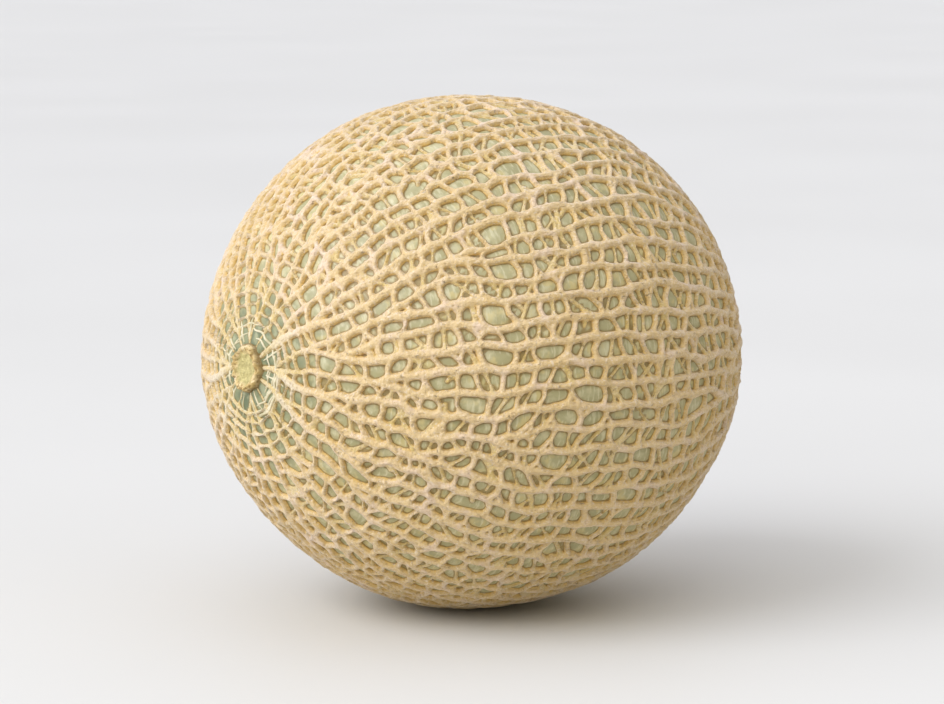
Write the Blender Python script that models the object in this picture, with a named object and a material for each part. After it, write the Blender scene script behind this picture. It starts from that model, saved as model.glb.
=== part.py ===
"""A whole netted cantaloupe melon, lying on its side on a small flat spot.

One piece, as it grew: the fruit's body, the raised corky net that covers it, the scar left by the stem at
-X and the small blossom scar at +X. The net is drawn larger than life, with about a third of the real
number of cells. Units are metres, +Z is up, and the origin is on the surface below the middle of the fruit.
"""

import math
import random

import bmesh
import bpy
from mathutils import Vector

# Overall size, measured over the net.
LENGTH = 0.160
DIAMETER = 0.149
AXIS_TILT = math.radians(1.5)  # the stem end is a little higher than the blossom end
FLAT_SINK = 0.0008  # how much the melon's underside is flattened where it lies

# The net: lanes of cells run from stem to blossom, like the bricks of a wall between two walls' joints.
LANES = 40
ROWS = 42  # two rows of the lattice to each cell
CAP_ROWS = 7  # this near a scar, every second ridge has joined its neighbour
CORE_ROWS = 3  # and this near, every second one of those as well
NET_HEIGHT = 0.0015  # from the green rind up to the crest of a strand
STRAND_HALF_WIDTH = 0.0027
POLAR_NET_HEIGHT = 0.0007  # the net is lower and its strands are finer beside the scars
POLAR_HALF_WIDTH = 0.0011
POLAR_SHARE = 0.4  # of the half length, over which the net gains its full height
LENGTHWISE_JITTER = 0.28  # of a row
CROSSWISE_JITTER = 0.10  # of a lane
BEND_TO_RUNG = 0.07  # of a lane: a ridge bends to the rung that starts on it
RUNG_TRIM = 0.25  # of a strand's half width: rungs are this much finer
RIDGE_SPREAD = 0.12  # of a strand's half width: ridges are this much stouter
SEED = 7
UNDER_LANE = LANES // 4 - 1  # the lane that faces straight down

# The scars at the two ends.
STEM_SCAR_RADIUS = 0.0072
BLOSSOM_SCAR_RADIUS = 0.0048
COLLAR_RISE = 0.0016  # the corky ring round the stem scar, above the net's crests
DISH_DEPTH = 0.0012  # the middle of the stem scar, below its ring
KNOB_RISE = 0.0004  # in the dish, where the stem's vessels ended
CRUMBLE = 0.00035  # how far the collar's rim strays
BLOSSOM_DEPTH = 0.0004

# Where the melon touches the surface, seen from its own axis.
DOWN = Vector((math.sin(AXIS_TILT), 0.0, -math.cos(AXIS_TILT)))
LYING_DEPTH = math.hypot(LENGTH / 2 * DOWN.x, DIAMETER / 2 * DOWN.z) - FLAT_SINK
TOUCHING = 1e-6

NET_SLOT, RIND_SLOT, SCAR_SLOT = range(3)
NET_COLOUR = (0.62, 0.43, 0.22)
RIND_COLOUR = (0.36, 0.37, 0.18)
SCAR_COLOUR = (0.55, 0.47, 0.17)
ROUGHNESS = 0.75
SHARP_ANGLE = math.radians(80)


def material(name, colour, roughness):
    made = bpy.data.materials.new(name)
    made.use_nodes = True
    shader = made.node_tree.nodes["Principled BSDF"]
    shader.inputs["Base Color"].default_value = (*colour, 1.0)
    shader.inputs["Roughness"].default_value = roughness
    shader.inputs["Metallic"].default_value = 0.0
    return made


def place_in_lattice(point):
    """(row, lane) of a vertex of the unit sphere: rows count from the stem's pole, lanes round the axis."""
    row = round(math.acos(max(-1.0, min(1.0, point.z))) / math.pi * ROWS)
    lane = round(math.atan2(point.y, point.x) / math.tau * LANES) % LANES
    return row, lane


def ridge_step(row):
    """How many lanes lie between one ridge and the next at this row, or at this edge between two rows."""
    from_scar = min(row, ROWS - row)
    if from_scar < CORE_ROWS:
        return 4
    return 2 if from_scar < CAP_ROWS else 1


def has_rung(row, lane):
    """Whether a rung crosses this lane, named by the ridge on its lower side, at this row."""
    column = lane // ridge_step(row)
    return row in (1, ROWS - 1) or (row + column) % 2 == 1


def is_left_out(row_a, lane_a, row_b, lane_b):
    """Whether an edge of the lattice isn't a strand of the net."""
    if row_a != row_b:
        at_scar = min(row_a, row_b) in (0, ROWS - 1)
        return at_scar or lane_a % ridge_step((row_a + row_b) / 2) != 0
    low, high = sorted((lane_a, lane_b))
    return not has_rung(row_a, high if high - low > 1 else low)


def rounds_scar(row, lane):
    """Whether a vertex keeps a scar's outline round, though no ridge starts from it."""
    return row in (1, ROWS - 1) and lane % 2 == 0


def net_lattice():
    """The net as a mesh on the unit sphere, with one face for each cell and one for each scar."""
    mesh = bmesh.new()
    bmesh.ops.create_uvsphere(mesh, u_segments=LANES, v_segments=ROWS, radius=1.0)
    places = {vertex: place_in_lattice(vertex.co) for vertex in mesh.verts}
    poles = [vertex for vertex, (row, _) in places.items() if row in (0, ROWS)]
    bmesh.ops.dissolve_verts(mesh, verts=poles)
    left_out = [
        edge
        for edge in mesh.edges
        if is_left_out(*places[edge.verts[0]], *places[edge.verts[1]])
    ]
    bmesh.ops.dissolve_edges(mesh, edges=left_out, use_verts=False)
    passed_over = [
        vertex
        for vertex in mesh.verts
        if len(vertex.link_edges) == 2 and not rounds_scar(*places[vertex])
    ]
    bmesh.ops.dissolve_verts(mesh, verts=passed_over)
    return mesh, places


def arc_from_pole(row):
    """How far along the half circle from the stem's pole a row lies, from 0 to 1."""
    half_girth = math.pi * (LENGTH + DIAMETER) / 4
    first = STEM_SCAR_RADIUS / half_girth
    last = 1 - BLOSSOM_SCAR_RADIUS / half_girth
    return first + (last - first) * (row - 1) / (ROWS - 2)


def spheroid_point(arc, turn):
    """The point of the melon's outer surface at this arc from the stem's pole and turn about its axis."""
    angle = arc * math.pi
    across = DIAMETER / 2 * math.sin(angle)
    return Vector((-LENGTH / 2 * math.cos(angle), across * math.cos(turn), -across * math.sin(turn)))


def spread_over_melon(mesh, places):
    """Moves the lattice from the unit sphere to the melon, each vertex a little out of line."""
    draw = random.Random(SEED)
    for vertex in mesh.verts:
        row, lane = places[vertex]
        along = draw.uniform(-LENGTHWISE_JITTER, LENGTHWISE_JITTER)
        across = draw.uniform(-CROSSWISE_JITTER, CROSSWISE_JITTER) * (1 + ridge_step(row)) / 2
        across += BEND_TO_RUNG if has_rung(row, lane) else -BEND_TO_RUNG
        if row in (1, ROWS - 1):
            along = 0.0
        if abs(row - ROWS / 2) <= 1 and lane in (UNDER_LANE, UNDER_LANE + 1):
            along = across = 0.0
        turn = (lane + across + 0.5) / LANES * math.tau
        vertex.co = spheroid_point(arc_from_pole(row + along), turn)


def lies_on_ground(cell):
    return all(corner.co.dot(DOWN) > LYING_DEPTH - TOUCHING for corner in cell.verts)


def flatten_underside(mesh):
    """Presses the underside up to the plane of the surface that the melon lies on."""
    for vertex in mesh.verts:
        below = vertex.co.dot(DOWN) - LYING_DEPTH
        if below > 0:
            vertex.co -= below * DOWN


def stretch(opening, direction, by):
    """Makes an opening of the net longer in this direction, at both its ends together."""
    middle = opening.calc_center_median()
    reach = max(abs((corner.co - middle).dot(direction)) for corner in opening.verts)
    for corner in opening.verts:
        corner.co += by / reach * (corner.co - middle).dot(direction) * direction


def raise_net(mesh, cells):
    """Sinks the middle of each cell, so that its border stands up as a strand of the net."""
    for cell in cells:
        from_scar = min(1.0, (1 - abs(cell.calc_center_median().x) / (LENGTH / 2)) / POLAR_SHARE)
        half_width = POLAR_HALF_WIDTH + (STRAND_HALF_WIDTH - POLAR_HALF_WIDTH) * from_scar
        height = POLAR_NET_HEIGHT + (NET_HEIGHT - POLAR_NET_HEIGHT) * from_scar
        bmesh.ops.inset_individual(mesh, faces=[cell], thickness=half_width, depth=-height)
        round_axis = Vector((1, 0, 0)).cross(cell.normal).normalized()
        stretch(cell, cell.normal.cross(round_axis), by=RUNG_TRIM * half_width)
        stretch(cell, round_axis, by=-RIDGE_SPREAD * half_width)
        cell.material_index = RIND_SLOT


def step_in(mesh, face, share, upwards, slot):
    """Shrinks a face to this share of its width and lifts it, leaving a ring of this material round it."""
    ring = bmesh.ops.inset_individual(mesh, faces=[face], thickness=0.0, depth=upwards)
    middle = face.calc_center_median()
    for corner in face.verts:
        corner.co = middle + share * (corner.co - middle)
    for side in ring["faces"]:
        side.material_index = slot


def crumble(face, draw):
    """Moves a face's corners a little, so that a corky rim isn't a true circle."""
    outwards = face.normal.copy()
    middle = face.calc_center_median()
    for corner in face.verts:
        spoke = (corner.co - middle).normalized()
        corner.co += draw.uniform(-1, 1) * CRUMBLE * spoke + draw.uniform(-1, 1) * CRUMBLE * outwards


def shape_stem_scar(mesh, face):
    """The corky collar that the stem leaves behind, with a dished green middle and a small knob in it."""
    draw = random.Random(SEED + 1)
    step_in(mesh, face, 0.94, COLLAR_RISE * 0.8, NET_SLOT)
    crumble(face, draw)
    step_in(mesh, face, 0.86, COLLAR_RISE * 0.2, NET_SLOT)
    crumble(face, draw)
    step_in(mesh, face, 0.84, -DISH_DEPTH * 0.5, NET_SLOT)
    step_in(mesh, face, 0.85, -DISH_DEPTH * 0.5, SCAR_SLOT)
    step_in(mesh, face, 0.50, 0.0, SCAR_SLOT)
    step_in(mesh, face, 0.60, KNOB_RISE, SCAR_SLOT)
    face.material_index = SCAR_SLOT


def shape_blossom_scar(mesh, face):
    """The small low button where the flower was."""
    step_in(mesh, face, 0.85, BLOSSOM_DEPTH, NET_SLOT)
    step_in(mesh, face, 0.70, 0.0, NET_SLOT)
    step_in(mesh, face, 0.65, -BLOSSOM_DEPTH, SCAR_SLOT)
    face.material_index = SCAR_SLOT


def melon_mesh():
    mesh, places = net_lattice()
    spread_over_melon(mesh, places)
    flatten_underside(mesh)
    mesh.normal_update()
    scars = sorted(mesh.faces, key=lambda face: len(face.verts))[-2:]
    stem_scar, blossom_scar = sorted(scars, key=lambda face: face.calc_center_median().x)
    cells = [face for face in mesh.faces if face not in scars and not lies_on_ground(face)]
    raise_net(mesh, cells)
    shape_stem_scar(mesh, stem_scar)
    shape_blossom_scar(mesh, blossom_scar)
    data = bpy.data.meshes.new("melon")
    mesh.to_mesh(data)
    mesh.free()
    data.shade_smooth()
    data.set_sharp_from_angle(angle=SHARP_ANGLE)
    return data


def lay_down(melon):
    """Tilts the melon and puts the origin on the surface, below the middle of its box."""
    melon.rotation_euler = (0, AXIS_TILT, 0)
    bpy.context.view_layer.update()
    turned = [melon.matrix_world @ vertex.co for vertex in melon.data.vertices]
    middle_x, middle_y = (
        (min(point[i] for point in turned) + max(point[i] for point in turned)) / 2 for i in (0, 1)
    )
    melon.location = (-middle_x, -middle_y, LYING_DEPTH)


def main():
    for old in list(bpy.data.objects):
        bpy.data.objects.remove(old)
    melon = bpy.data.objects.new("melon", melon_mesh())
    for name, colour in (("net", NET_COLOUR), ("rind", RIND_COLOUR), ("scar", SCAR_COLOUR)):
        melon.data.materials.append(material(name, colour, ROUGHNESS))
    collection = bpy.data.collections.new("cantaloupe_melon")
    bpy.context.scene.collection.children.link(collection)
    collection.objects.link(melon)
    lay_down(melon)


main()
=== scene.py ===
"""The looks of a netted cantaloupe melon: its rind, its corky net, the web round the stem and both scars.

Lengths are in millimetres until a mesh is made. A place on the melon is (arc, turn): arc is the distance
along the skin from the stem's pole, and turn is the angle round the melon's own axis.
"""

import math

import bpy
import numpy as np
from mathutils import Matrix, Vector


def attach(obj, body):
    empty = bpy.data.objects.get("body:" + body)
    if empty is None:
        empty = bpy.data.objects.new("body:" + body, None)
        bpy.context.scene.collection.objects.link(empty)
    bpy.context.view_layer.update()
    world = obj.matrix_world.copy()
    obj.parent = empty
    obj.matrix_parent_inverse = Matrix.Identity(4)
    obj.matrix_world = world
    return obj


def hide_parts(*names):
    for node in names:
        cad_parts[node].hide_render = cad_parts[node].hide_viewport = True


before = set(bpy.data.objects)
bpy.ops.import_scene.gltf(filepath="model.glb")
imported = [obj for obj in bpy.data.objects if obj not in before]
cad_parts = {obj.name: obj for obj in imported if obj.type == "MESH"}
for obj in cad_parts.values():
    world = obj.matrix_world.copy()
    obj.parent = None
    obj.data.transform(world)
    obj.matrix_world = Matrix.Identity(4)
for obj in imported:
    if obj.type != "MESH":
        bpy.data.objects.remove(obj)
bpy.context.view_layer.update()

# The melon's body, as in the solid: a spheroid over the crests of the net.
HALF_LENGTH = 80.0
HALF_WIDTH = 74.5
AXIS_TILT = math.radians(1.5)
CENTRE_MM = np.array([0.74, 0.0, 73.70])
SWELL = 0.35  # how far the girth strays from a true spheroid
SEED = 11

# The strands of the net: half their width, and their height above the rind.
RIDGE_HALF = 1.14
RIDGE_HEIGHT = 1.5
LINK_HALF = 0.80
LINK_HEIGHT = 1.22
YOUNG_HALF = 0.58
YOUNG_HEIGHT = 0.55
FUSE = 0.32  # how softly strands run into each other
EDGE_WOBBLE = 0.06
LUMP_HEIGHT = 0.06
SMALL_LUMP_HEIGHT = 0.03
FOOT_SINK = 0.14  # how far the net's edges reach below the rind
RIND_BULGE = 0.36  # how high the rind bulges in a wide opening
BULGE_REACH = 1.3  # how far from a strand the rind bulges that high

# The plan of the net. Lanes run from stem to blossom, with a ridge between each two.
LANES = 72
RIDGES_AT_STEM = 12
RIDGES_AT_BLOSSOM = 10
LANE_OPENING = 16.0  # the length over which a lane grows to its full width
HOME_PULL = 0.06  # how strongly a ridge is held to its own turn
BROAD_AT_STEM = (2, 29, 33, 42)  # ridges that stay broad up to the stem scar
BROAD_WIDENING = 0.85
LENGTHWISE_BEND = 0.8  # how far the whole net strays from its plan
CROSSWISE_BEND = 0.75

# Where things start and stop: arcs from the stem's pole, or from the blossom's pole if the name says so.
NET_START = 5.2
NET_START_AT_BLOSSOM = 3.6
BARE_END = 9.5  # nearer the stem than this, there are no rings of web
WEB_END = 12.3  # nearer the stem than this, fine web strands take the place of links
RINGS_END = 31.0  # nearer the stem than this, links lie on rings
LINKS_START_AT_BLOSSOM = 9
STEM_SCAR_RADIUS = 6.3
BLOSSOM_SCAR_RADIUS = 4.8

# The meshes.
NET_GRID = 300
RIND_GRID = 90
RAISED_FROM = 0.01  # a grid point less deep in a strand than this is sunk as its foot
KEPT_FROM = 0.02  # a quad belongs to the net if a corner lies deeper than this
WEB_SIDES = 6
WEB_SINK = 0.16
CELL_MARGIN = 0.08  # round each web strand's cell in the map for a bake
SCAR_RINGS = 64
SCAR_SPOKES = 168
SCAR_SKIRT = 1.12  # how far a scar's mesh reaches under the net, against its radius


# The skin.

# Arc length along the skin against the angle from the stem's pole.
ANGLES = np.linspace(0.0, math.pi, 4001)
SPEED = np.hypot(HALF_LENGTH * np.sin(ANGLES), HALF_WIDTH * np.cos(ANGLES))
ARCS = np.concatenate([[0.0], np.cumsum((SPEED[1:] + SPEED[:-1]) / 2 * np.diff(ANGLES))])
ARC_END = ARCS[-1]


def smooth(x):
    """A soft step from 0 to 1 as x goes from 0 to 1."""
    x = np.clip(x, 0.0, 1.0)
    return x * x * (3 - 2 * x)


def girth_radius(arc):
    """Distance from the melon's axis at this arc."""
    return HALF_WIDTH * np.sin(np.interp(arc, ARCS, ANGLES))


def safe_radius(arc):
    """The same, but never so small that a distance divided by it runs wild."""
    return np.maximum(girth_radius(arc), 0.5)


def skin_point(arc, turn):
    """The point of the spheroid at (arc, turn), in the melon's own axes."""
    angle = np.interp(arc, ARCS, ANGLES)
    x = -HALF_LENGTH * np.cos(angle)
    y = HALF_WIDTH * np.sin(angle) * np.cos(turn)
    z = -HALF_WIDTH * np.sin(angle) * np.sin(turn)
    return np.stack([x, y, z], axis=-1)


def skin_normal(point):
    normal = point / np.array([HALF_LENGTH**2, HALF_WIDTH**2, HALF_WIDTH**2])
    return normal / np.linalg.norm(normal, axis=-1, keepdims=True)


def place_of(point):
    """(arc, turn) of points on the spheroid."""
    angle = np.arccos(np.clip(-point[..., 0] / HALF_LENGTH, -1, 1))
    return np.interp(angle, ANGLES, ARCS), np.arctan2(-point[..., 2], point[..., 1]) % math.tau


def back_to_skin(point):
    """Points near the spheroid, moved onto it."""
    scaled = point / np.array([HALF_LENGTH, HALF_WIDTH, HALF_WIDTH])
    return point / np.linalg.norm(scaled, axis=-1, keepdims=True)


def to_world(points):
    """From the melon's own axes in millimetres to the row frame in metres, flat where the melon lies."""
    turn = np.array(Matrix.Rotation(AXIS_TILT, 3, "Y"))
    world = (points @ turn.T + CENTRE_MM) / 1000
    world[..., 2] = np.maximum(world[..., 2], 0.0)
    return world


class Waves:
    """Smooth noise with values mostly between -1 and 1: a sum of waves in random directions."""

    def __init__(self, seed, wavelength, count=14):
        draw = np.random.default_rng(seed)
        directions = draw.normal(size=(count, 3))
        directions /= np.linalg.norm(directions, axis=1, keepdims=True)
        lengths = wavelength * draw.uniform(0.7, 1.5, size=(count, 1))
        self.vectors = directions * math.tau / lengths
        self.phases = draw.uniform(0, math.tau, size=count)

    def __call__(self, point):
        total = np.zeros(point.shape[:-1])
        for vector, phase in zip(self.vectors, self.phases):
            total += np.sin(point @ vector + phase)
        return total / math.sqrt(len(self.phases))


# The fields of noise: a seed and a wavelength each.
BEND_LENGTHWISE = Waves(21, 30.0)
BEND_CROSSWISE = Waves(22, 48.0)
HONEYCOMB = Waves(23, 75.0)
LUMPS = Waves(24, 4.2)
SMALL_LUMPS = Waves(25, 1.7, count=20)
GIRTH_LUMPS = Waves(26, 55.0)
EDGES = Waves(27, 2.5, count=18)


def swell(points):
    """How far the fruit's girth stands out from the spheroid here."""
    return SWELL * GIRTH_LUMPS(points)


# The ridges: they run from stem to blossom, and join near both scars.

STEP = 0.25
LINE = np.arange(0.0, ARC_END + STEP, STEP)
LINE_RADIUS = safe_radius(LINE)


def line_noise(draw, wavelength):
    """A smooth random function of arc, sampled along LINE."""
    total = np.zeros(len(LINE))
    for _ in range(6):
        total += np.sin(math.tau * LINE / (wavelength * draw.uniform(0.7, 1.6)) + draw.uniform(0, math.tau))
    return total / math.sqrt(6)


def birth_ranks(shift):
    """The order in which lanes open as the melon widens. Sorting lanes by the bits of their numbers, read
    backwards, spreads those that open early or late evenly round it."""
    spots = [int(format(i, "010b")[::-1], 2) for i in range(LANES)]
    return np.roll(np.argsort(spots), shift)


def opening_arc(rank, first, draw):
    """How far from its scar a lane of this rank opens. The first lanes are open from the start."""
    if rank < first:
        return -60.0
    width = np.interp(rank, [first, 34, LANES], [5.8, 5.0, 5.6])
    needed = (rank + 1) * width / math.tau
    angle = math.asin(min(0.97, needed / HALF_WIDTH))
    return np.interp(angle, ANGLES, ARCS) * draw.uniform(0.8, 1.15) - 6.0


def settle(weights):
    """Spaces the ridges so that each lane is as wide as its weight asks and no ridge strays far round the
    melon, as if the lanes were springs."""
    home = np.arange(LANES) / LANES * math.tau
    rest = weights / weights.sum(axis=0) * math.tau
    stiff = 1 / (weights + 1e-4)
    ridges = np.zeros((LANES + 1, len(LINE)))
    ridge = np.arange(LANES)
    after = (ridge + 1) % LANES
    for i in range(len(LINE)):
        matrix = np.eye(LANES) * HOME_PULL
        pull = HOME_PULL * home
        push = stiff[:, i] * (rest[:, i] - np.where(after == 0, math.tau, 0.0))
        np.add.at(matrix, (ridge, ridge), stiff[:, i])
        np.add.at(matrix, (after, after), stiff[:, i])
        np.add.at(matrix, (ridge, after), -stiff[:, i])
        np.add.at(matrix, (after, ridge), -stiff[:, i])
        np.add.at(pull, after, push)
        np.add.at(pull, ridge, -push)
        ridges[:LANES, i] = np.linalg.solve(matrix, pull)
    ridges[LANES] = ridges[0] + math.tau
    return ridges


def ridge_stray(draw, room):
    """How far one ridge wanders to the side along its way. Half of the ridges also swerve once."""
    stray = smooth(room / 6) * (0.55 * line_noise(draw, 40.0) + 0.28 * line_noise(draw, 15.0))
    if draw.random() < 0.5:
        swerve_arc = draw.uniform(55, ARC_END - 50)
        side = draw.choice([-1, 1])
        reach = side * draw.uniform(0.15, 0.42) * room
        stray += reach * np.exp(-(((LINE - swerve_arc) / draw.uniform(5, 10)) ** 2))
    return stray


def plan_ridges():
    """The turn of every ridge along LINE. Ridge k runs on the lower side of lane k, and the last is the
    first again. Where a lane is closed, its two ridges are one."""
    draw = np.random.default_rng(SEED + 1)
    stem_ranks = birth_ranks(shift=5)
    blossom_ranks = birth_ranks(shift=24)
    weights = np.zeros((LANES, len(LINE)))
    for lane in range(LANES):
        start = opening_arc(stem_ranks[lane], RIDGES_AT_STEM, draw)
        stop = opening_arc(blossom_ranks[lane], RIDGES_AT_BLOSSOM, draw)
        opened = smooth((LINE - start) / LANE_OPENING)
        weights[lane] = opened * smooth((ARC_END - LINE - stop) / LANE_OPENING)
    ridges = settle(weights)
    widths = np.diff(ridges, axis=0) * LINE_RADIUS
    rooms = np.minimum(widths, np.roll(widths, 1, axis=0))
    for ridge in range(LANES):
        ridges[ridge] += ridge_stray(draw, rooms[ridge]) / LINE_RADIUS
    ridges[LANES] = ridges[0] + math.tau
    return ridges


RIDGES = plan_ridges()
LANE_WIDTHS = np.diff(RIDGES, axis=0) * LINE_RADIUS


def ridge_half_widths():
    """Half the width of every ridge along LINE: slim near both scars, and a little uneven."""
    draw = np.random.default_rng(SEED + 2)
    from_stem = np.interp(LINE, [0, 9, 15, 26, 42], [0.30, 0.38, 0.54, 0.78, 1.0])
    from_blossom = np.interp(ARC_END - LINE, [0, 6, 16, 30], [0.45, 0.5, 0.75, 1.0])
    halves = np.zeros((LANES, len(LINE)))
    for ridge in range(LANES):
        own = draw.uniform(0.84, 1.16) + 0.09 * line_noise(draw, 14.0)
        widening = draw.uniform(-0.25, 0.35)
        if ridge in BROAD_AT_STEM:
            widening = BROAD_WIDENING
        near_stem = 1 + widening * smooth((40 - LINE) / 30) * smooth((LINE - 3) / 6)
        halves[ridge] = RIDGE_HALF * own * near_stem * from_stem * from_blossom
    return halves


RIDGE_HALVES = ridge_half_widths()


# The links: short strands that cross a lane from one ridge to the next.

RING_SPACING = 1.2  # how far apart the rings near the stem are, in cell lengths
NARROWEST_CROSSED = 3.3  # a lane narrower than this has no links
ROOMY = 4.6  # a lane or cell smaller than this has no forks or young strands
VERY_ROOMY = 9.6  # a cell longer than this always has a young strand


def cell_length(arc):
    """How far apart links mostly are: close together near both scars."""
    return float(np.interp(arc, [12, 45], [2.2, 7.0]) * np.interp(ARC_END - arc, [8, 34], [0.7, 1.0]))


def turn_at(ridge, arc):
    return np.interp(arc, LINE, RIDGES[ridge])


def place_on(ridge, arc):
    return arc, turn_at(ridge, arc)


def lane_width(lane, arc):
    return float(np.interp(arc, LINE, LANE_WIDTHS[lane]))


def between(a, b, share):
    return tuple(low + (high - low) * share for low, high in zip(a, b))


def cross_lane(draw, lane, arc, width):
    """A link over a lane at this arc, bowed or forked: its straight pieces, and where it meets ridges."""
    size = min(width, cell_length(arc))
    slant = float(np.clip(draw.normal(0, 0.31), -0.65, 0.65)) * size
    slant *= float(np.interp(arc, [14, 36], [0.35, 1.0]))
    low = place_on(lane, arc - slant / 2)
    high = place_on(lane + 1, arc + slant / 2)
    if draw.random() > 0.24 or size < ROOMY:
        bow = draw.uniform(-0.2, 0.2) * size
        middle_arc, middle_turn = between(low, high, 0.5)
        middle = (middle_arc + bow, middle_turn)
        return [low + middle, middle + high], [(lane, low[0], 1), (lane + 1, high[0], -1)]
    fork = between(low, high, draw.uniform(0.35, 0.65))
    spread = draw.uniform(1.4, 2.4)
    low_end, high_end = (low, lane, 1), (high, lane + 1, -1)
    near, far = (low_end, high_end) if draw.random() < 0.5 else (high_end, low_end)
    foot, foot_ridge, foot_side = near
    top, top_ridge, top_side = far
    tips = [place_on(top_ridge, top[0] + d * spread) for d in (-1, 1)]
    pieces = [foot + fork, *[fork + tip for tip in tips]]
    return pieces, [(foot_ridge, foot[0], foot_side), *[(top_ridge, tip[0], top_side) for tip in tips]]


def young_strand(draw, lane, before, after):
    """The straight pieces of a low thin strand between two links: over the lane, or with a free end."""
    room = after - before
    lean = draw.uniform(-0.36, 0.36) * room
    middle_arc = (before + after) / 2 + draw.uniform(-0.18, 0.18) * room
    low = place_on(lane, middle_arc - lean)
    high = place_on(lane + 1, middle_arc + lean)
    reach = draw.choice([1.0, draw.uniform(0.4, 0.7)], p=[0.93, 0.07])
    if draw.random() < 0.5:
        low, high = high, low
    tip = between(low, high, reach)
    bend = between(low, tip, 0.5)
    bend = (bend[0] + draw.uniform(-0.5, 0.5), bend[1])
    pieces = [low + bend, bend + tip]
    if room > 7.0 and draw.random() < 0.4:
        edge_arc = middle_arc + draw.choice([-1, 1]) * 0.32 * room
        pieces.append(bend + place_on(lane + draw.integers(0, 2), edge_arc))
    return pieces


def young_count(draw, room, width):
    """How many young strands lie between two links."""
    count = 0
    if min(room, width) > ROOMY and draw.random() < 0.13 * room - 0.26:
        count += 1
    if room > VERY_ROOMY:
        count += 1
    return count


def stem_rings():
    """Near the stem the links of neighbouring lanes lie on rings, as in a spider's web."""
    arcs = [WEB_END + 0.8]
    while arcs[-1] < RINGS_END:
        arcs.append(arcs[-1] + RING_SPACING * cell_length(arcs[-1]))
    return arcs


def next_link(draw, rings, lane, arc, width):
    """The arc of a lane's next link beyond this arc. The rings are wavy, and links stray off them a bit."""
    stray = draw.uniform(-0.35, 0.35)
    spacing = draw.uniform(0.78, 1.62)
    for ring in rings:
        turn = turn_at(lane, ring)
        spot = ring + 0.8 * math.sin(2 * turn + 1.0) + 0.5 * math.sin(5 * turn) + stray
        if spot > arc + 0.6 * cell_length(arc):
            return spot
    return arc + spacing * min(max(width, 4.8), cell_length(arc))


def make_links():
    """For each lane its links as (straight pieces, half width, height), each piece (arc, turn, arc, turn),
    and every place where a link meets a ridge as (ridge, arc, side)."""
    draw = np.random.default_rng(SEED + 3)
    rings = stem_rings()
    links, meetings = [[] for _ in range(LANES)], []
    for lane in range(LANES):
        arc = next_link(draw, rings, lane, WEB_END - 1.5, 0.0)
        before = None
        while arc < ARC_END - LINKS_START_AT_BLOSSOM:
            width = lane_width(lane, arc)
            if width < NARROWEST_CROSSED:
                arc += 1.2
                before = None
                continue
            from_stem = np.interp(arc, [12, 34], [0.5, 1.0])
            grown = float(from_stem * np.interp(ARC_END - arc, [8, 30], [0.62, 1.0]))
            pieces, ends = cross_lane(draw, lane, arc, width)
            height = LINK_HEIGHT * draw.uniform(0.8, 1.1) * (0.4 + 0.6 * grown)
            links[lane].append((pieces, LINK_HALF * draw.uniform(0.72, 1.25) * grown, height))
            meetings += ends
            room = 0.0 if before is None else arc - before
            for _ in range(young_count(draw, room, width)):
                pieces = young_strand(draw, lane, before, arc)
                height = YOUNG_HEIGHT * draw.uniform(0.75, 1.3)
                links[lane].append((pieces, YOUNG_HALF * draw.uniform(0.75, 1.25), height))
            before = arc
            arc = next_link(draw, rings, lane, arc, width)
    return links, meetings


LINKS, MEETINGS = make_links()


def bend_ridges_to_links():
    """Each link draws the ridges at its two ends a little towards itself, and more so in some regions,
    where the cells look like honeycomb."""
    for ridge, arc, side in MEETINGS:
        middle = skin_point(arc, turn_at(ridge % LANES, arc))
        reach = 0.34 + float(smooth((HONEYCOMB(middle) - 0.1) / 1.2))
        reach *= min(1.0, lane_width((ridge if side > 0 else ridge - 1) % LANES, arc) / 6)
        bump = side * reach * np.exp(-(((LINE - arc) / 2.0) ** 2)) / LINE_RADIUS
        RIDGES[ridge] += bump
        if ridge == 0:
            RIDGES[LANES] += bump
        if ridge == LANES:
            RIDGES[0] += bump


bend_ridges_to_links()
SLOPES = np.gradient(RIDGES, STEP, axis=1)


# The whole net, as a field over the skin.

RIDGE_SPAN = 7.0  # how far aside a ridge is still felt
LINK_SPAN = 4.0  # how far past its ends a link is still felt
LANE_SPAN = 16.0  # wider than any lane, with that margin


def freedom(arc):
    """How freely the net strays from its plan: not at all at the scars."""
    return smooth((arc - 10) / 30) * smooth((ARC_END - arc - 8) / 25)


def piece_distance(piece, arc, turn, radius):
    """How far places on the skin are from a straight piece of strand."""
    arc_a, turn_a, arc_b, turn_b = piece
    x = arc - arc_a
    y = ((turn - turn_a + math.pi) % math.tau - math.pi) * radius
    run_x, run_y = arc_b - arc_a, (turn_b - turn_a) * radius
    along = np.clip((x * run_x + y * run_y) / (run_x**2 + run_y**2 + 1e-9), 0, 1)
    return np.hypot(x - along * run_x, y - along * run_y)


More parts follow.
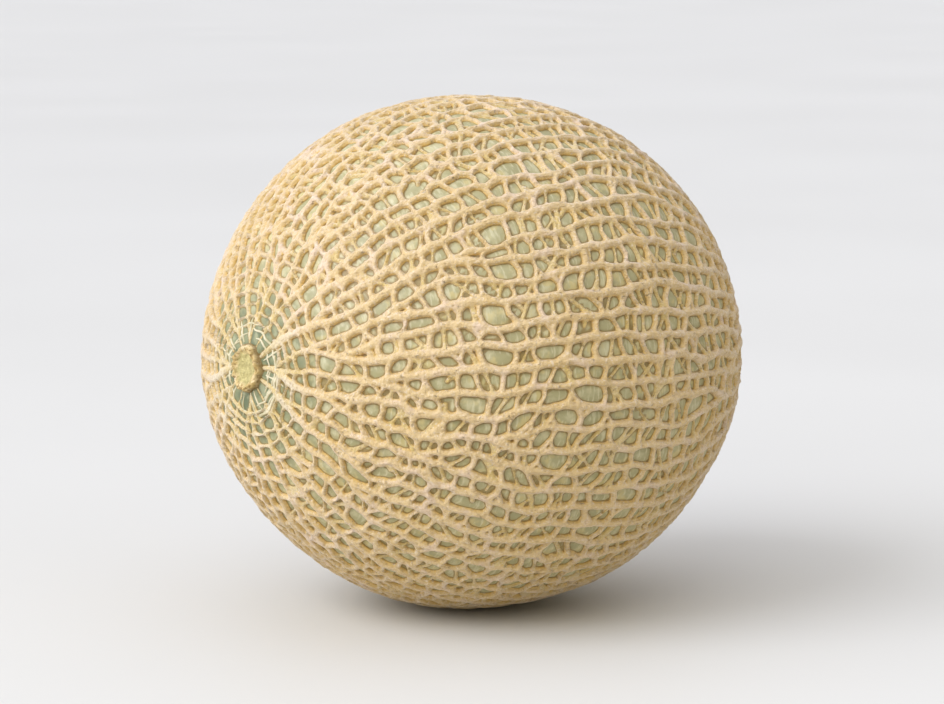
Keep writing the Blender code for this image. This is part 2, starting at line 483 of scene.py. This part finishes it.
def strands_at(point):
    """For points on the spheroid: how deep each lies inside the net (negative in an opening), the height
    of the strand's crest, its half width, and how near the point is to a strand's middle line, up to 1."""
    arc, turn = place_of(point)
    radius = safe_radius(arc)
    free = freedom(arc)
    arc = arc + LENGTHWISE_BEND * free * BEND_LENGTHWISE(point)
    turn = turn + CROSSWISE_BEND * free * BEND_CROSSWISE(point) / radius
    order = np.argsort(arc)
    arc, turn, radius = arc[order], turn[order], radius[order]
    load = np.full(len(arc), 1e-12)
    height = np.zeros(len(arc))
    half = np.zeros(len(arc))
    middle = np.zeros(len(arc))

    def add(where, distance, own_half, own_height, share=1.0):
        pull = share * np.exp(np.clip((own_half - distance) / FUSE, -30, 8))
        load[where] += pull
        height[where] += pull * own_height
        half[where] += pull * own_half
        middle[where] = np.maximum(middle[where], share * (1 - distance / own_half))

    slot, part = np.divmod(np.clip(arc / STEP, 0, len(LINE) - 1.001), 1.0)
    slot = slot.astype(int)
    for lane in range(LANES):
        line = RIDGES[lane][slot] * (1 - part) + RIDGES[lane][slot + 1] * part
        across = ((turn - line + math.pi) % math.tau - math.pi) * radius
        near = np.nonzero(np.abs(across) < RIDGE_SPAN)[0]
        slope = np.interp(arc[near], LINE, SLOPES[lane]) * radius[near]
        parted = smooth(np.interp(arc[near], LINE, LANE_WIDTHS[lane - 1]) / 1.2)
        own_half = np.interp(arc[near], LINE, RIDGE_HALVES[lane])
        own_height = RIDGE_HEIGHT * np.clip(own_half / RIDGE_HALF, 0.4, 1.0)
        own_height *= np.interp(arc[near], [7, 14, 30], [0.4, 0.55, 1.0])
        add(near, np.abs(across[near]) / np.sqrt(1 + slope**2), own_half, own_height, parted)
        inside = np.nonzero((across > -LINK_SPAN) & (across < LANE_SPAN))[0]
        inside_arc = arc[inside]
        for pieces, own_half, own_height in LINKS[lane]:
            ends = [end for piece in pieces for end in piece[::2]]
            low, high = np.searchsorted(inside_arc, [min(ends) - LINK_SPAN, max(ends) + LINK_SPAN])
            band = inside[low:high]
            gaps = [piece_distance(piece, arc[band], turn[band], radius[band]) for piece in pieces]
            add(band, np.minimum.reduce(gaps), own_half, own_height)
    depth = FUSE * np.log(load) + EDGE_WOBBLE * EDGES(point[order])
    results = np.empty((4, len(arc)))
    results[:, order] = depth, height / load, half / load, middle
    return results


def unbend(arc, turn):
    """Where a place in the straightened net, as strands_at reads it, lies on the melon."""
    spot_arc, spot_turn = arc.copy(), turn.copy()
    for _ in range(4):
        point = skin_point(spot_arc, spot_turn)
        radius = safe_radius(spot_arc)
        spot_arc = arc - LENGTHWISE_BEND * freedom(spot_arc) * BEND_LENGTHWISE(point)
        spot_turn = turn - CROSSWISE_BEND * freedom(spot_arc) * BEND_CROSSWISE(point) / radius
    return spot_arc, spot_turn


# The grids that carry the net and the rind.

# Each side of a cube: the direction that it faces, and the directions of its two edges.
CUBE_SIDES = [
    ((1, 0, 0), (0, 1, 0), (0, 0, 1)),
    ((-1, 0, 0), (0, 0, 1), (0, 1, 0)),
    ((0, 1, 0), (0, 0, 1), (1, 0, 0)),
    ((0, -1, 0), (1, 0, 0), (0, 0, 1)),
    ((0, 0, 1), (1, 0, 0), (0, 1, 0)),
    ((0, 0, -1), (0, 1, 0), (1, 0, 0)),
]
SHOULDER = 0.38  # how far inside the foot of a strand its side wall ends
REACH = 0.19  # grid points within about this of a foot or shoulder line move onto it
PROBE = 0.05  # how far aside a slope is measured
STEEP_ENOUGH = 0.35  # points stay where the square of the slope is less than this


def grid_quads(rows, columns):
    """The quads between the points of a grid, whose points are numbered row by row."""
    index = np.arange(rows * columns).reshape(rows, columns)
    corners = [index[:-1, :-1], index[1:, :-1], index[1:, 1:], index[:-1, 1:]]
    return np.stack(corners, axis=-1).reshape(-1, 4)


def spheroid_grid(size):
    """A cube blown up to the spheroid: points, quads, the cube side of each quad, and the place of each
    quad's corners on that side, from 0 to 1."""
    steps = np.tan(np.linspace(-1, 1, size + 1) * math.pi / 4)
    u, v = (grid.reshape(-1, 1) for grid in np.meshgrid(steps, steps, indexing="ij"))
    points = np.concatenate([np.array(out) + u * np.array(a) + v * np.array(b) for out, a, b in CUBE_SIDES])
    points /= np.linalg.norm(points, axis=1, keepdims=True)
    count = (size + 1) ** 2
    quads = grid_quads(size + 1, size + 1)
    quads = np.concatenate([quads + side * count for side in range(6)])
    places = np.stack(np.divmod(np.arange(count), size + 1), axis=-1) / size
    places = np.concatenate([places] * 6)[quads]
    keys = np.round(points * 1e5).astype(np.int64)
    _, first, merged = np.unique(keys, axis=0, return_index=True, return_inverse=True)
    points = points[first] * np.array([HALF_LENGTH, HALF_WIDTH, HALF_WIDTH])
    return points, merged.reshape(-1)[quads], np.repeat(np.arange(6), size * size), places


def tangents(normal):
    """Two directions along the skin, square to each other."""
    first = np.cross(normal, np.array([0.0, 0.3, 1.0]))
    first /= np.linalg.norm(first, axis=-1, keepdims=True)
    return first, np.cross(normal, first)


def align_to_strands(points):
    """Moves grid points onto the foot and shoulder lines of the strands, so that these stay smooth."""
    for _ in range(2):
        depth = strands_at(points)[0]
        near = np.nonzero((depth > -REACH - 0.1) & (depth < SHOULDER + REACH + 0.1))[0]
        spot = points[near]
        first, second = tangents(skin_normal(spot))
        here = depth[near]
        slope_a = (strands_at(back_to_skin(spot + PROBE * first))[0] - here) / PROBE
        slope_b = (strands_at(back_to_skin(spot + PROBE * second))[0] - here) / PROBE
        steepness = slope_a**2 + slope_b**2
        target = np.where(np.abs(here) < np.abs(here - SHOULDER), 0.0, SHOULDER)
        gap = target - here
        moves = (np.abs(gap) < REACH + 0.05) & (steepness > STEEP_ENOUGH)
        step = np.where(moves, gap / np.maximum(steepness, STEEP_ENOUGH), 0.0)[:, None]
        points[near] = back_to_skin(spot + step * (slope_a[:, None] * first + slope_b[:, None] * second))
    return points


def corner_normals(vertices, quads):
    """Smooth normals of a whole surface, so that pieces cut from it show no seam."""
    a, b, c, d = (vertices[quads[:, i]] for i in range(4))
    face = np.cross(c - a, d - b)
    normals = np.zeros_like(vertices)
    for i in range(4):
        np.add.at(normals, quads[:, i], face)
    return normals / np.maximum(np.linalg.norm(normals, axis=1, keepdims=True), 1e-20)


# The pieces.


def add_piece(name, vertices, faces, material, slot, uv, normals=None, **attributes):
    """A mesh object from arrays: it rides on the melon's body and stands for the solid."""
    data = bpy.data.meshes.new(name)
    data.from_pydata(vertices.tolist(), [], faces.tolist())
    data.update()
    data.shade_smooth()
    layer = data.uv_layers.new(name="OFBake")
    layer.data.foreach_set("uv", np.asarray(uv, dtype=np.float32).reshape(-1))
    for key, values in attributes.items():
        attribute = data.attributes.new(key, "FLOAT", "POINT")
        attribute.data.foreach_set("value", np.asarray(values, dtype=np.float32))
    if normals is not None:
        data.normals_split_custom_set_from_vertices(normals.tolist())
    data.materials.append(material)
    piece = bpy.data.objects.new(name, data)
    bpy.context.scene.collection.objects.link(piece)
    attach(piece, "root")
    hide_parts("melon")


def inwardness(depth, half, middle):
    """From 0 at a strand's foot to 1 along its middle, a little lower where strands only run together."""
    return 0.5 * np.clip(depth / np.maximum(half, 0.2), 0.0, 1.0) + 0.5 * middle


def cord_profile(inward):
    """The height of a strand against its inwardness: round like a cord."""
    return (1 - (1 - inward) ** 2) ** 0.43


def build_net(material):
    """The net as one surface, cut into the six sides of its grid."""
    points, quads, sides, places = spheroid_grid(NET_GRID)
    points = align_to_strands(points)
    depth, height, half, middle = strands_at(points)
    arc, _ = place_of(points)
    under_scar = (arc < NET_START) | (arc > ARC_END - NET_START_AT_BLOSSOM)
    depth[under_scar] = -1.0
    inward = inwardness(depth, half, middle)
    crest = height + LUMP_HEIGHT * LUMPS(points) + SMALL_LUMP_HEIGHT * SMALL_LUMPS(points)
    rise = np.where(depth > RAISED_FROM, cord_profile(inward) * crest, -FOOT_SINK)
    world = to_world(points + skin_normal(points) * (rise - RIDGE_HEIGHT + swell(points))[:, None])
    kept = depth[quads].max(axis=1) > KEPT_FROM
    normals = corner_normals(world, quads[kept])
    for side in range(6):
        own = kept & (sides == side)
        used, faces = np.unique(quads[own], return_inverse=True)
        add_piece(
            f"net_{side + 1}",
            world[used],
            faces.reshape(-1, 4),
            material,
            "net",
            uv=places[own],
            normals=normals[used],
            inward=inward[used],
            young=np.interp(height[used], [YOUNG_HEIGHT, LINK_HEIGHT], [1.0, 0.0]),
        )


def rind_rise(points, depth):
    """How far the rind lies above the spheroid: below the crests of the net, with a bulge in an opening."""
    return swell(points) - RIDGE_HEIGHT + RIND_BULGE * smooth(-depth / BULGE_REACH)


def build_rind(material):
    points, quads, sides, places = spheroid_grid(RIND_GRID)
    depth = strands_at(points)[0]
    world = to_world(points + skin_normal(points) * rind_rise(points, depth)[:, None])
    column, row = np.divmod(sides, 2)
    uv = (places + np.stack([column, row], axis=-1)[:, None, :]) / np.array([3, 2])
    add_piece("rind", world, quads, material, "rind", uv=uv, opening=-depth)


def web_rings(draw):
    """Short lengths of the fine rings of cork round the stem, like a spider's web."""
    lines = []
    radius = BARE_END
    while radius < WEB_END + 1.5:
        outward = float(smooth((radius - 10) / 5))
        for _ in range(4):
            start, span = draw.uniform(0, math.tau), draw.uniform(0.35, 1.5)
            turn = start + np.linspace(0, span, 6 + int(span * radius / 0.7))
            stray = draw.uniform(-0.4, 0.4)
            stray += 0.45 * np.sin(draw.uniform(2, 4) * turn + draw.uniform(0, math.tau))
            stray += 0.2 * np.sin(draw.uniform(8, 14) * turn + draw.uniform(0, math.tau))
            taper = np.sin(math.pi * np.linspace(0.04, 0.96, len(turn))) ** 0.35
            half = draw.uniform(0.24, 0.38) * (1 + 0.5 * outward) * taper
            lines.append((radius + stray, turn, half, half * draw.uniform(0.9, 1.3)))
        radius += draw.uniform(0.7, 1.1)
    return lines


def web_spokes(draw):
    """Thin strands that run outward between the ridges, across the rings."""
    lines = []
    t = np.linspace(-0.02, 1.02, 12)
    for lane in range(LANES):
        if lane_width(lane, 15.0) > 2.8 and draw.random() < 0.8:
            side = draw.uniform(0.3, 0.7)
            arcs = draw.uniform(6.8, 9.5) + draw.uniform(6.0, 10.0) * t
            turn = turn_at(lane, arcs) * (1 - side) + turn_at(lane + 1, arcs) * side
            turn = turn + draw.uniform(-0.6, 0.6) * (t - 0.5) / girth_radius(arcs)
            half = draw.uniform(0.24, 0.40) * np.sin(math.pi * np.clip(t, 0.06, 0.94)) ** 0.4
            lines.append((arcs, turn, half, half * 1.1))
    return lines


def half_tube(arc, turn, half, height):
    """The points of a half tube along a line on the rind, one row for each point of the line, and how far
    up the tube each point of a row lies."""
    middle = skin_point(*unbend(arc, turn))
    normal = skin_normal(middle)
    middle = middle + normal * rind_rise(middle, strands_at(middle)[0])[:, None]
    run = np.gradient(middle, axis=0)
    run /= np.linalg.norm(run, axis=1, keepdims=True)
    beside = np.cross(normal, run)
    ring = np.linspace(0, math.pi, WEB_SIDES)
    up = np.sin(ring)
    points = (
        middle[:, None]
        + beside[:, None] * (half[:, None] * np.cos(ring))[..., None]
        + normal[:, None] * (height[:, None] * up - WEB_SINK + WEB_SINK * up)[..., None]
    )
    return points.reshape(-1, 3), up


def build_web(material):
    """The finest strands, round the stem scar. Each has its own cell in the map for a bake."""
    draw = np.random.default_rng(SEED + 5)
    lines = web_rings(draw) + web_spokes(draw)
    cells = math.ceil(math.sqrt(len(lines)))
    vertices, faces, uv, rise = [], [], [], []
    start = 0
    for number, line in enumerate(lines):
        points, up = half_tube(*line)
        count = len(line[0])
        quads = grid_quads(count, WEB_SIDES)[:, ::-1]
        sides = np.meshgrid(np.linspace(0, 1, count), np.linspace(0, 1, WEB_SIDES), indexing="ij")
        places = np.stack(sides, axis=-1).reshape(-1, 2)
        cell = np.array(divmod(number, cells))
        places = (cell + CELL_MARGIN + (1 - 2 * CELL_MARGIN) * places) / cells
        vertices.append(points)
        faces.append(start + quads)
        uv.append(places[quads])
        rise.append(np.tile(up, count))
        start += len(points)
    vertices, faces, uv, rise = (np.concatenate(parts) for parts in (vertices, faces, uv, rise))
    add_piece("web_strands", to_world(vertices), faces, material, "net", uv=uv, rise=rise)


# The scars' profiles: heights above the rind, against shares of the scar's radius.
STEM_PROFILE = (
    [0, 0.15, 0.4, 0.66, 0.78, 0.86, 0.94, 1.0, SCAR_SKIRT],
    [0.9, 0.8, 0.8, 1.1, 1.9, 2.2, 2.0, 1.2, -0.8],
)
BLOSSOM_PROFILE = ([0, 0.4, 0.6, 0.85, 1.0, SCAR_SKIRT], [0.9, 0.8, 1.3, 1.35, 0.7, -0.6])


def build_scar(name, material, at_stem, radius, profile, crumble, seed):
    """A round scar on one of the melon's poles, with pith in the middle and a crumbly rim."""
    draw = np.random.default_rng(seed)
    radii = radius * SCAR_SKIRT * np.linspace(0.0, 1.0, SCAR_RINGS) ** 0.9
    angle = np.arange(SCAR_SPOKES) / SCAR_SPOKES * math.tau
    r, turn = np.meshgrid(radii, angle, indexing="ij")
    wobble = sum(
        draw.uniform(0.012, 0.03) * np.sin(k * turn + draw.uniform(0, math.tau)) for k in (2, 3, 4, 5, 7, 9)
    )
    share = r / radius / (1 + wobble)
    skin = skin_point(r if at_stem else ARC_END - r, turn)
    spot = np.stack([r * np.cos(turn), r * np.sin(turn), np.zeros_like(r)], axis=-1)
    rim = np.interp(share + 0.05 * Waves(seed + 3, 2.0)(spot), [0, 0.62, 0.78, 1.1], [0, 0, 1, 1])
    rough = 0.9 * Waves(seed, 2.2)(spot)
    rough += 0.5 * Waves(seed + 1, 1.1)(spot)
    rough += 0.35 * Waves(seed + 2, 0.6)(spot)
    rise = np.interp(share, *profile) + crumble * rough * (0.25 + 0.75 * rim) * (share < 1.04)
    points = skin + skin_normal(skin) * (rise - RIDGE_HEIGHT + swell(skin))[..., None]
    world = to_world(points.reshape(-1, 3))
    index = np.arange(SCAR_RINGS * SCAR_SPOKES).reshape(SCAR_RINGS, SCAR_SPOKES)
    after = np.roll(index, -1, axis=1)
    quads = np.stack([index[:-1], index[1:], after[1:], after[:-1]], axis=-1).reshape(-1, 4)
    if at_stem:
        quads = quads[:, ::-1]
    world[index[0]] = world[index[0]].mean(axis=0)
    uv = 0.5 + 0.46 * spot[..., :2].reshape(-1, 2) / radii[-1]
    rim = rim.reshape(-1)
    # Painted shade on the rim's outer flank and where the scar's mesh runs under the net.
    skirt = np.interp(share, [0.95, 1.03], [0.0, 0.85]).reshape(-1)
    add_piece(name, world, quads, material, "scar", uv=uv[quads], rim=rim, skirt=skirt)


# The materials.


class Nodes:
    """Builds one procedural material."""

    def __init__(self, name):
        self.material = bpy.data.materials.new(name)
        self.material.use_nodes = True
        self.tree = self.material.node_tree
        self.shader = self.tree.nodes["Principled BSDF"]
        self.place = self.node("ShaderNodeTexCoord").outputs["Object"]

    def node(self, kind, inputs=None, **settings):
        made = self.tree.nodes.new(kind)
        for key, value in settings.items():
            setattr(made, key, value)
        for key, value in (inputs or {}).items():
            self.put(made.inputs[key], value)
        return made

    def put(self, socket, value):
        if isinstance(value, bpy.types.NodeSocket):
            self.tree.links.new(value, socket)
        else:
            socket.default_value = value

    def attribute(self, name):
        return self.node("ShaderNodeAttribute", attribute_name=name).outputs["Fac"]

    def lengthwise(self):
        """The place along the melon in metres, lowest at the stem."""
        return self.node("ShaderNodeSeparateXYZ", {0: self.place}).outputs["X"]

    def noise(self, scale, detail=3.0, roughness=0.5, stretch=None):
        place = self.place
        if stretch:
            inputs = {0: place, 1: stretch}
            place = self.node("ShaderNodeVectorMath", inputs, operation="MULTIPLY").outputs[0]
        inputs = {"Vector": place, "Scale": scale, "Detail": detail, "Roughness": roughness}
        return self.node("ShaderNodeTexNoise", inputs).outputs["Fac"]

    def span(self, value, low, high, out_low=0.0, out_high=1.0):
        """A soft step in value, from out_low at low to out_high at high."""
        inputs = {0: value, 1: low, 2: high, 3: out_low, 4: out_high}
        return self.node("ShaderNodeMapRange", inputs, interpolation_type="SMOOTHSTEP").outputs[0]

    def share(self, value, low, high, most):
        """A soft step in value, from 0 at low to most at high."""
        inputs = {0: self.span(value, low, high), 1: most}
        return self.node("ShaderNodeMath", inputs, operation="MULTIPLY").outputs[0]

    def mix(self, share, a, b):
        made = self.node("ShaderNodeMix", data_type="RGBA")
        self.put(made.inputs[0], share)
        for socket, value in ((made.inputs[6], a), (made.inputs[7], b)):
            self.put(socket, (*value, 1.0) if isinstance(value, tuple) else value)
        return made.outputs[2]

    def bump(self, height, distance, strength=1.0, normal=None):
        inputs = {"Height": height, "Distance": distance, "Strength": strength}
        if normal is not None:
            inputs["Normal"] = normal
        return self.node("ShaderNodeBump", inputs).outputs["Normal"]

    def finish(self, colour, roughness, normal):
        self.put(self.shader.inputs["Base Color"], colour)
        self.put(self.shader.inputs["Roughness"], roughness)
        self.put(self.shader.inputs["Normal"], normal)
        return self.material


def cork_material():
    """Tan cork with pinkish and ochre patches, grain, dark streaks and pits, painted shade at the strands'
    feet.
    """
    m = Nodes("cork net")
    inward = m.attribute("inward")
    broad = m.noise(28.0)
    patch = m.noise(140.0, 4.0, 0.6)
    grain = m.noise(1100.0, 4.0, 0.7)
    streak = m.noise(1400.0, 3.0, 0.6, stretch=(0.3, 1.0, 1.0))
    pit = m.noise(620.0, 3.0, 0.55)
    tan = m.mix(m.span(broad, 0.36, 0.64), (0.620, 0.435, 0.182), (0.660, 0.475, 0.218))
    pinkish = m.mix(m.span(patch, 0.50, 0.70), tan, (0.69, 0.51, 0.325))
    ochre = m.mix(m.span(patch, 0.46, 0.30), pinkish, (0.63, 0.43, 0.16))
    top = m.mix(m.span(m.lengthwise(), -0.0735, -0.078), ochre, (0.665, 0.56, 0.36))
    wall = m.mix(m.span(patch, 0.4, 0.6), (0.635, 0.39, 0.072), (0.705, 0.47, 0.122))
    straw = m.mix(m.span(patch, 0.35, 0.65), (0.58, 0.41, 0.11), (0.65, 0.49, 0.20))
    colour = m.mix(m.span(inward, 0.02, 0.42), wall, top)
    colour = m.mix(m.share(m.attribute("young"), 0.2, 0.85, 0.85), colour, straw)
    colour = m.mix(m.share(grain, 0.52, 0.68, 0.8), colour, (0.74, 0.60, 0.41))
    colour = m.mix(m.share(grain, 0.48, 0.32, 0.5), colour, (0.50, 0.32, 0.12))
    colour = m.mix(m.share(streak, 0.45, 0.28, 0.7), colour, (0.40, 0.24, 0.08))
    # Painted shade: dark brown at each strand's foot, where it meets the rind.
    colour = m.mix(m.span(inward, 0.15, 0.0, 0.0, 0.8), colour, (0.24, 0.115, 0.010))
    colour = m.mix(m.share(pit, 0.35, 0.28, 0.5), colour, (0.42, 0.27, 0.09))
    normal = m.bump(m.noise(1500.0, 3.0, 0.6), 0.00030)
    normal = m.bump(m.span(pit, 0.28, 0.38), 0.00025, 1.0, normal)
    normal = m.bump(streak, 0.00065, 1.0, normal)
    m.shader.inputs["Sheen Weight"].default_value = 0.36
    return m.finish(colour, m.span(grain, 0.3, 0.7, 0.58, 0.74), normal)


def rind_material():
    """Grey-green skin, mottled, flecked and finely hatched, greener near the stem, painted shade by the
    strands.
    """
    m = Nodes("green rind")
    broad = m.noise(20.0)
    mottle = m.noise(260.0, 3.0, 0.6)
    fleck = m.noise(190.0, 3.0, 0.6)
    hatch = m.noise(1300.0, 2.0, 0.5, stretch=(1.0, 0.2, 0.2))
    colour = m.mix(m.span(broad, 0.35, 0.65), (0.312, 0.280, 0.126), (0.375, 0.334, 0.161))
    colour = m.mix(m.share(mottle, 0.45, 0.68, 0.6), colour, (0.55, 0.49, 0.28))
    colour = m.mix(m.share(fleck, 0.52, 0.66, 0.55), colour, (0.58, 0.455, 0.17))
    colour = m.mix(m.share(hatch, 0.5, 0.66, 0.5), colour, (0.60, 0.55, 0.335))
    green = m.mix(m.span(mottle, 0.4, 0.62), (0.118, 0.138, 0.063), (0.222, 0.228, 0.108))
    green = m.mix(m.share(hatch, 0.52, 0.7, 0.45), green, (0.45, 0.43, 0.24))
    near_stem = m.span(m.lengthwise(), -0.0775, -0.069, 1.0, 0.0)
    colour = m.mix(near_stem, colour, green)
    # Painted shade: dark brown on the rind next to each strand's foot.
    painted_shade_by_strands = m.span(m.attribute("opening"), 0.38, 0.0, 0.0, 0.7)
    colour = m.mix(painted_shade_by_strands, colour, (0.22, 0.125, 0.014))
    normal = m.bump(hatch, 0.00012, 0.7)
    normal = m.bump(mottle, 0.0003, 0.5, normal)
    return m.finish(colour, m.span(mottle, 0.3, 0.7, 0.42, 0.55), normal)


def web_material():
    """Pale cork, a little darker at the foot of each strand."""
    m = Nodes("pale web cork")
    grain = m.noise(900.0, 3.0, 0.6)
    patch = m.noise(180.0, 3.0, 0.6)
    top = m.mix(m.span(patch, 0.35, 0.65), (0.50, 0.44, 0.25), (0.66, 0.58, 0.38))
    colour = m.mix(m.span(m.attribute("rise"), 0.1, 0.75), (0.36, 0.29, 0.11), top)
    return m.finish(colour, m.span(grain, 0.3, 0.7, 0.6, 0.75), m.bump(grain, 0.0002, 0.8))


def scar_material():
    """Greenish pith in the middle, crumbly cracked cork on the rim, and painted shade on the rim's outer
    flank.
    """
    m = Nodes("scar pith and cork")
    grain = m.noise(700.0, 4.0, 0.65)
    patch = m.noise(420.0, 4.0, 0.65)
    crack = m.noise(900.0, 3.0, 0.6)
    pith = m.mix(m.span(grain, 0.35, 0.65), (0.36, 0.295, 0.10), (0.54, 0.455, 0.18))
    cork = m.mix(m.span(patch, 0.40, 0.58), (0.52, 0.36, 0.12), (0.72, 0.55, 0.27))
    cork = m.mix(m.span(patch, 0.58, 0.70), cork, (0.80, 0.64, 0.44))
    cork = m.mix(m.share(crack, 0.52, 0.38, 0.85), cork, (0.24, 0.14, 0.03))
    colour = m.mix(m.attribute("rim"), pith, cork)
    # Painted shade: dark brown on the rim's outer flank.
    colour = m.mix(m.attribute("skirt"), colour, (0.20, 0.13, 0.035))
    return m.finish(colour, m.span(grain, 0.3, 0.7, 0.62, 0.82), m.bump(crack, 0.0009))


def floor_material():
    """Pale warm grey, barely mottled."""
    m = Nodes("pale floor")
    fine = m.noise(3.0, 2.0)
    colour = m.mix(m.span(fine, 0.3, 0.7), (0.630, 0.604, 0.522), (0.643, 0.617, 0.533))
    return m.finish(colour, m.span(fine, 0.3, 0.7, 0.5, 0.55), m.bump(fine, 0.0001, 0.1))


def build_melon():
    build_net(cork_material())
    build_rind(rind_material())
    build_web(web_material())
    scar = scar_material()
    build_scar("stem_scar", scar, True, STEM_SCAR_RADIUS, STEM_PROFILE, crumble=0.30, seed=41)
    build_scar("blossom_scar", scar, False, BLOSSOM_SCAR_RADIUS, BLOSSOM_PROFILE, crumble=0.14, seed=51)


# The studio.

FLOOR_SIZE = 60.0
SKY_AT_HORIZON = (0.41, 0.38, 0.26, 1.0)
SKY_OVERHEAD = (1.01, 1.055, 1.29, 1.0)
LIGHT_COLOUR = (0.935, 1.0, 1.225)
# Distant lights: name, strength, breadth in degrees, and the direction towards them.
DISTANT_LIGHTS = (
    ("key", 1.65, 40, Vector((-0.762, 0.078, 0.643))),
    ("window", 1.75, 90, Vector((-0.873, 0.423, 0.242))),
)
PANEL_PLACE = Vector((-1.1, -0.75, 0.9))
PANEL_SIZE = (0.9, 0.9)
PANEL_POWER = 6.5
CAMERA_AZIMUTH = math.radians(-37.8)
CAMERA_ELEVATION = math.radians(8.0)
CAMERA_DISTANCE = 0.9
CAMERA_TARGET = Vector((0.0, 0.0, 0.0735))
CAMERA_LENS = 118.5
CAMERA_SENSOR = 36.0


def aim(thing, back):
    """Turns a light or camera so that this direction lies behind it."""
    thing.rotation_euler = (-back).to_track_quat("-Z", "Y").to_euler()


def build_floor():
    bpy.ops.mesh.primitive_plane_add(size=FLOOR_SIZE)
    floor = bpy.context.object
    floor.name = "floor"
    floor.data.materials.append(floor_material())


def build_sky():
    """A sky that is warm and dim at the horizon, and cool and bright overhead."""
    world = bpy.data.worlds.new("studio")
    world.use_nodes = True
    tree = world.node_tree
    direction = tree.nodes.new("ShaderNodeTexCoord")
    split = tree.nodes.new("ShaderNodeSeparateXYZ")
    glow = tree.nodes.new("ShaderNodeMix")
    glow.data_type = "RGBA"
    glow.inputs[6].default_value = SKY_AT_HORIZON
    glow.inputs[7].default_value = SKY_OVERHEAD
    tree.links.new(direction.outputs["Generated"], split.inputs[0])
    tree.links.new(split.outputs["Z"], glow.inputs[0])
    tree.links.new(glow.outputs[2], tree.nodes["Background"].inputs["Color"])
    bpy.context.scene.world = world


def add_light(name, kind, toward):
    light = bpy.data.objects.new(name, bpy.data.lights.new(name, kind))
    aim(light, toward)
    bpy.context.scene.collection.objects.link(light)
    return light


def build_lights():
    for name, strength, breadth, toward in DISTANT_LIGHTS:
        light = add_light(name, "SUN", toward)
        light.data.energy = strength
        light.data.angle = math.radians(breadth)
        light.data.color = LIGHT_COLOUR
    panel = add_light("side_panel", "AREA", PANEL_PLACE)
    panel.data.shape = "RECTANGLE"
    panel.data.size, panel.data.size_y = PANEL_SIZE
    panel.data.energy = PANEL_POWER
    panel.location = PANEL_PLACE


def build_camera():
    level = math.cos(CAMERA_ELEVATION)
    back = Vector(
        (math.sin(CAMERA_AZIMUTH) * level, -math.cos(CAMERA_AZIMUTH) * level, math.sin(CAMERA_ELEVATION))
    )
    camera = bpy.data.objects.new("camera", bpy.data.cameras.new("camera"))
    camera.data.lens = CAMERA_LENS
    camera.data.sensor_width = CAMERA_SENSOR
    camera.location = CAMERA_TARGET + CAMERA_DISTANCE * back
    aim(camera, back)
    bpy.context.scene.collection.objects.link(camera)
    bpy.context.scene.camera = camera


build_melon()
build_floor()
build_sky()
build_lights()
build_camera()
bpy.context.scene.view_settings.view_transform = "Standard"
